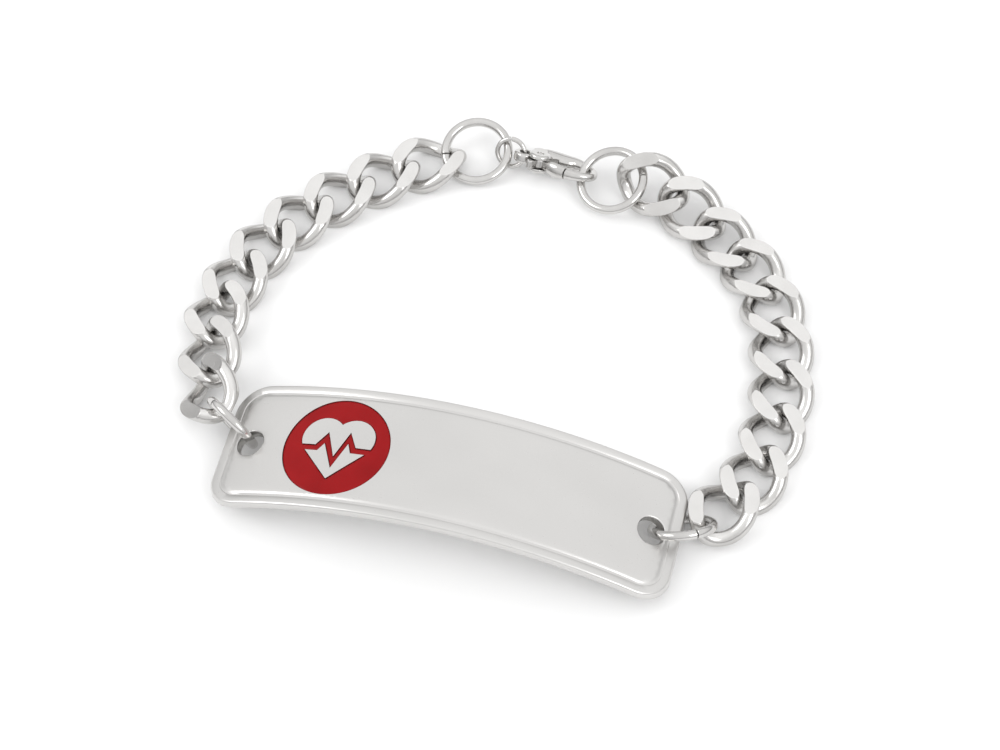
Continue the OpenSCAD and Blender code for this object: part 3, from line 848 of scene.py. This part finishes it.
def jaw_cutter():
    """What the hook's end gives up, so that the lever has room to turn."""
    angles = [JAW_SWEEP * k / JAW_STEPS - JAW_SWEEP for k in range(JAW_STEPS + 1)]
    arc = [PIN_AT + Vector((JAW_R * math.cos(a), JAW_R * math.sin(a), 0)) for a in angles]
    fan = [p for p in arc if p.y < -0.5 * HALF_W] + [PIN_AT + JAW_CORNER]
    rings = [[p + Vector((0, 0, z)) for p in fan] for z in (-BEYOND, BEYOND)]
    return mesh_of("jaw", *loft(rings, False), False)


def clasp_body_mesh(voxel=0.05):
    shapes = [
        swept("claw", CLAW_ROWS),
        disc(HOUSING_R, 2 * HALF_H, BODY_EDGE, PIN_AT),
        disc(SHOULDER_R, 2 * HALF_H, BODY_EDGE, SHOULDER_AT),
        disc(EYE_R, EYE_H, EYE_EDGE, EYE_AT),
    ]
    body = remeshed(joined("clasp_body", shapes), voxel, 6)
    reach = HOUSING_R + SLOT_OUT
    cutters = [disc(BOSS_R + BOSS_PLAY, 2 * SLOT_HALF, FINE_EDGE, PIN_AT)]
    for turn in SLOT_TURNS:
        cutters.append(block(0, reach, -BOSS_R, BOSS_R, SLOT_HALF, turn, PIN_AT))
    body = cut(body, remeshed(joined("slot", cutters), voxel, 0))
    body = cut(body, disc(EYE_HOLE, THROUGH, FINE_EDGE, EYE_AT))
    body = cut(body, disc(PIN_R + PLAY, THROUGH, FINE_EDGE, PIN_AT))
    return remeshed(cut(body, jaw_cutter()), voxel, 3)


def lever_mesh(voxel=0.045):
    keep = disc(JAW_R - JAW_GAP, KEEP_TALL, FINE_EDGE, PIN_AT, ARM_FREE)
    arm = cut(swept("arm", LEVER_ROWS), keep, "INTERSECT")
    reach = HOUSING_R + TAB_OUT
    turn = Matrix.Rotation(math.radians(TAB_TURN), 4, "Z")
    tab_end = turn @ Vector((reach, 0, 0)) + PIN_AT
    h = LEVER_TALL / 2
    stop_y = (ARM_Y + ARM_HALF) * HALF_W + STOP_RISE
    stop_top = stop_y + STOP_WIDE
    shapes = [
        arm,
        disc(BOSS_R, LEVER_TALL, LEVER_EDGE, PIN_AT),
        block(0, NECK_LENGTH, -NECK_HALF, NECK_HALF, h, NECK_TURN, PIN_AT),
        block(0, reach, -TAB_HALF, TAB_HALF, h, TAB_TURN, PIN_AT),
        disc(TAB_HALF, LEVER_TALL, LEVER_EDGE, tab_end),
        block(ROOT_X, ROOT_X + ROOT_LONG, ARM_Y * HALF_W, stop_top, h),
        block(ROOT_X, STOP_X, stop_y, stop_top, h),
    ]
    lever = remeshed(joined("clasp_lever", shapes), voxel, 2)
    lever = cut(lever, disc(PIN_R + PLAY, THROUGH, FINE_EDGE, PIN_AT))
    return remeshed(lever, voxel, 2)


def pin_mesh():
    low = PIN_HALF - PIN_DOME
    dome = [(PIN_R * math.sin(a), low + PIN_DOME * math.cos(a)) for a in quarter(6)]
    return turned("lever_pin", mirrored(dome), PIN_AT, 40)


piece("clasp_body", clasp_body_mesh(), clasp_at, POLISHED, ["clasp_body"])
piece("clasp_lever", lever_mesh(), clasp_at, POLISHED, ["clasp_lever"], "lever")
piece("lever_pin", pin_mesh(), clasp_at, POLISHED, ["lever_pin"])


# Floor, light and camera, in metres

FLOOR_R, FLOOR_SIDES = 1.2, 96
# Height on the sphere of the sky, from its side to overhead, and brightness there
SKY = [(0.0, 0.3), (0.12, 0.55), (0.3, 0.9), (0.48, 1.1), (0.75, 1.05), (1.0, 1.15)]
LAMPS = {"left": (-0.55, -0.15, 0.5), "right": (0.5, -0.3, 0.5)}
LAMP_SIZE, LAMP_WATTS = 0.35, 1.1
LENS, SENSOR, NEAR, FAR = 90, 36, 0.01, 10
TARGET = Vector((0.70292, -3.5563, 0)) * MM
DISTANCE, RISE = 0.2665, math.radians(57)
HEADING = (0.244, -0.97)


def aim(obj, direction):
    obj.rotation_euler = direction.to_track_quat("-Z", "Y").to_euler()


def floor():
    s = Shader("floor", Roughness=0.9, Specular_IOR_Level=0.1)
    s.colour(s.blend(s.noise(40.0), (0.93,) * 3, (0.95,) * 3))
    verts = [(0, 0, 0)] + [(x, y, 0) for x, y in circle(FLOOR_R, FLOOR_SIDES)]
    faces = [(0, a, b) for a, b in around(list(range(1, FLOOR_SIDES + 1)))]
    mesh = bpy.data.meshes.new("floor")
    mesh.from_pydata(verts, [], faces)
    mesh.materials.append(s.material)
    obj = linked("floor", mesh)


def sky():
    """Soft light that is brightest overhead and falls off to the horizon."""
    world = bpy.data.worlds.new("studio")
    bpy.context.scene.world = world
    world.use_nodes = True
    tree = world.node_tree
    where = tree.nodes.new("ShaderNodeTexCoord")
    split = tree.nodes.new("ShaderNodeSeparateXYZ")
    ramp = tree.nodes.new("ShaderNodeValToRGB")
    set_stops(ramp.color_ramp, [(at, (value,) * 3) for at, value in SKY])
    back = tree.nodes["Background"]
    tree.links.new(where.outputs["Generated"], split.inputs["Vector"])
    tree.links.new(split.outputs["Z"], ramp.inputs["Fac"])
    tree.links.new(ramp.outputs["Color"], back.inputs["Color"])
    back.inputs["Strength"].default_value = 1.0


floor()
sky()
for name, at in LAMPS.items():
    light = bpy.data.lights.new(name, "AREA")
    light.shape = "RECTANGLE"
    light.size = light.size_y = LAMP_SIZE
    light.energy = LAMP_WATTS
    lamp = linked(name, light)
    lamp.location = at
    aim(lamp, -Vector(at))

scene = bpy.context.scene
scene.view_settings.view_transform = "Standard"
scene.view_settings.look = "None"

camera_data = bpy.data.cameras.new("camera")
camera_data.lens = LENS
camera_data.sensor_width = SENSOR
camera_data.clip_start = NEAR
camera_data.clip_end = FAR
camera = linked("camera", camera_data)
away = Vector((*(part * math.cos(RISE) for part in HEADING), math.sin(RISE))).normalized()
camera.location = TARGET + away * DISTANCE
aim(camera, -away)
scene.camera = camera

bpy.context.view_layer.update()
